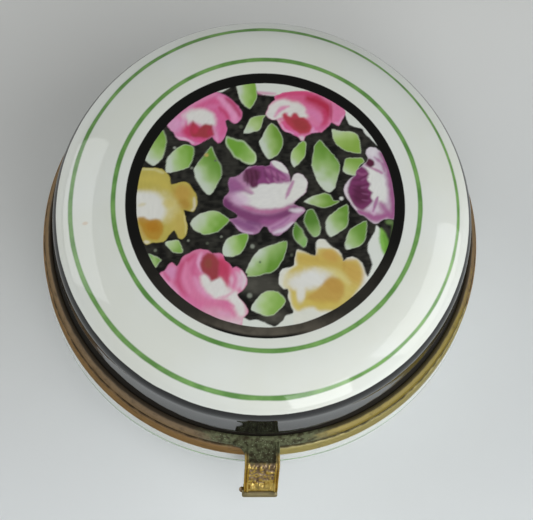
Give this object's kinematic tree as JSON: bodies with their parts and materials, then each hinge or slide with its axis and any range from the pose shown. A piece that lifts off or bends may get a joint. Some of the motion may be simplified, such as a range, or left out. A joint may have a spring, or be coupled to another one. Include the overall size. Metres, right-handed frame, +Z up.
{
  "type": "pill box",
  "caption": "Round porcelain pill box: domed hinged lid and footed bowl, each in a brass bezel, with a strap clasp at the front.",
  "frame": {"origin": "on the table, under the middle of the box's outline from above; the box's own axis is 1.275 mm behind it, because the clasp stands out further than the hinge", "axes": "+Z up out of the lid, +Y towards the hinge at the back, -Y towards the clasp at the front, +X to the right seen from the front"},
  "size_m": [0.0466, 0.051, 0.0247],
  "materials": {
    "lid_porcelain": "white glazed porcelain with painted bands and a flower medallion",
    "base_porcelain": "white glazed porcelain with a thin painted line",
    "lid_bezel_brass": "dull, darkened with age",
    "base_bezel_brass": "rubbed, with dark patches",
    "fitting_brass": "dull, darkened with age",
    "clasp_brass": "milled and rubbed bright at the tip, green with age at the root",
    "cement": "matt plaster cement"
  },
  "bodies": {
    "base": {"base_bowl": "base_porcelain", "base_cement": "cement", "base_bezel": "base_bezel_brass", "catch_stud": "fitting_brass", "hinge_pin": "fitting_brass", "base_knuckle_left": "fitting_brass", "base_knuckle_middle": "fitting_brass", "base_knuckle_right": "fitting_brass"},
    "lid": {"lid_dome": "lid_porcelain", "lid_cement": "cement", "lid_bezel": "lid_bezel_brass", "lid_knuckle_left": "fitting_brass", "lid_knuckle_right": "fitting_brass", "clasp_strap": "clasp_brass", "clasp_wire": "fitting_brass"}
  },
  "joints": [
    {"name": "lid_hinge", "type": "hinge", "parent": "base", "child": "lid", "pos_m": [0, 0.02467, 0.0135], "axis": [-1, 0, 0], "range_deg": [0, 100]}
  ]
}
